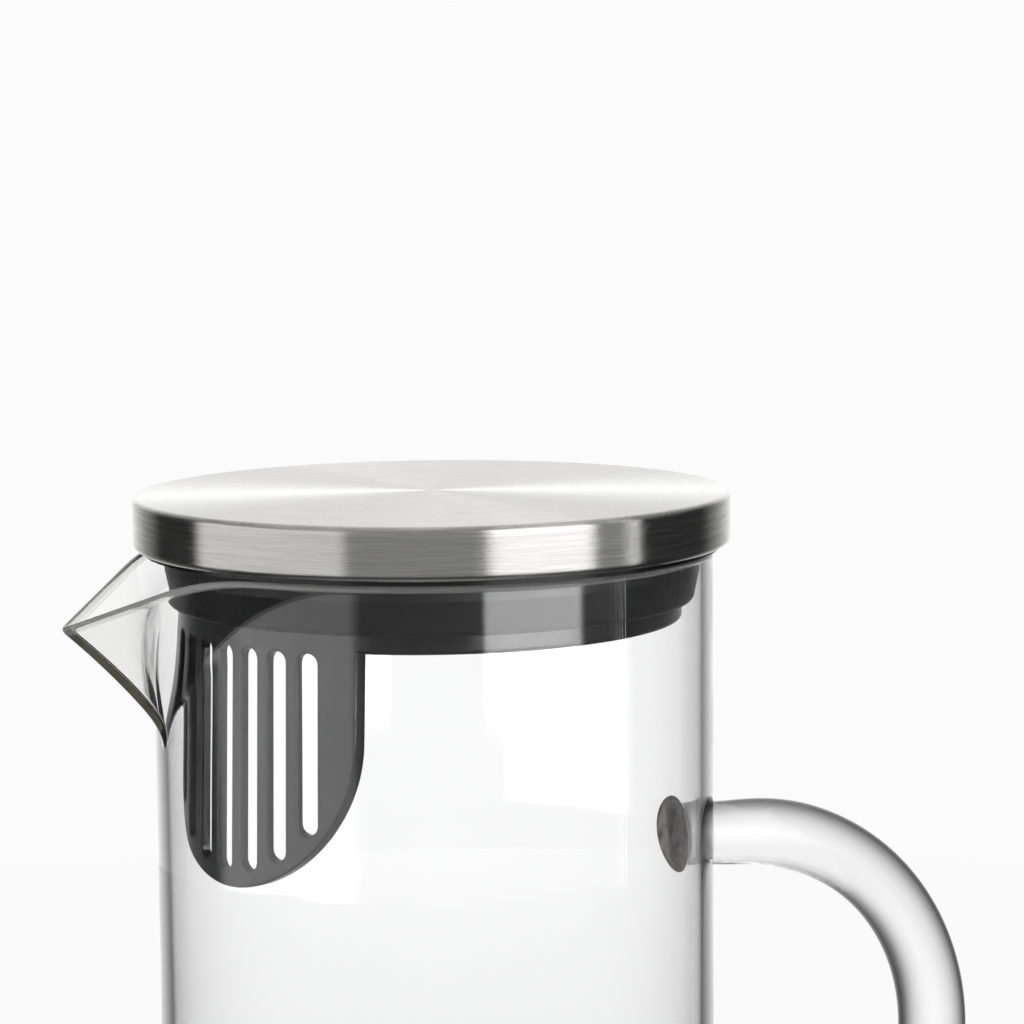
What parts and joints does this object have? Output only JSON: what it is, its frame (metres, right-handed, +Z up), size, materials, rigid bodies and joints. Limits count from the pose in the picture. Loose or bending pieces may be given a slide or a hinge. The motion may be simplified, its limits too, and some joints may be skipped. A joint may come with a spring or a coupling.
{
  "type": "glass pitcher",
  "caption": "Cylindrical glass pitcher with a pulled V spout, a solid rod handle, and a turning steel lid with a silicone seal and a slotted strainer.",
  "frame": {"origin": "centre of the base ring, on the surface the pitcher stands on", "axes": "+Z up along the pitcher's axis, +X towards the handle, the spout towards -X"},
  "size_m": [0.1766, 0.1064, 0.26],
  "materials": {
    "glass": "clear, polished",
    "steel": "spun brushed, satin",
    "black_plastic": "moulded, semi-gloss",
    "silicone": "matt silicone"
  },
  "bodies": {
    "jug": {"glass_body": "glass", "glass_handle": "glass"},
    "seal": {"seal_ring": "silicone"},
    "lid": {"steel_cap": "steel", "lid_core": "black_plastic", "strainer": "black_plastic"}
  },
  "joints": [
    {"name": "lid_lift", "type": "slide", "parent": "jug", "child": "seal", "axis": [0, 0, 1], "range_m": [0, 0.08]},
    {"name": "lid_turn", "type": "hinge", "parent": "seal", "child": "lid", "pos_m": [0, 0, 0.25], "axis": [0, 0, 1], "continuous": true}
  ]
}
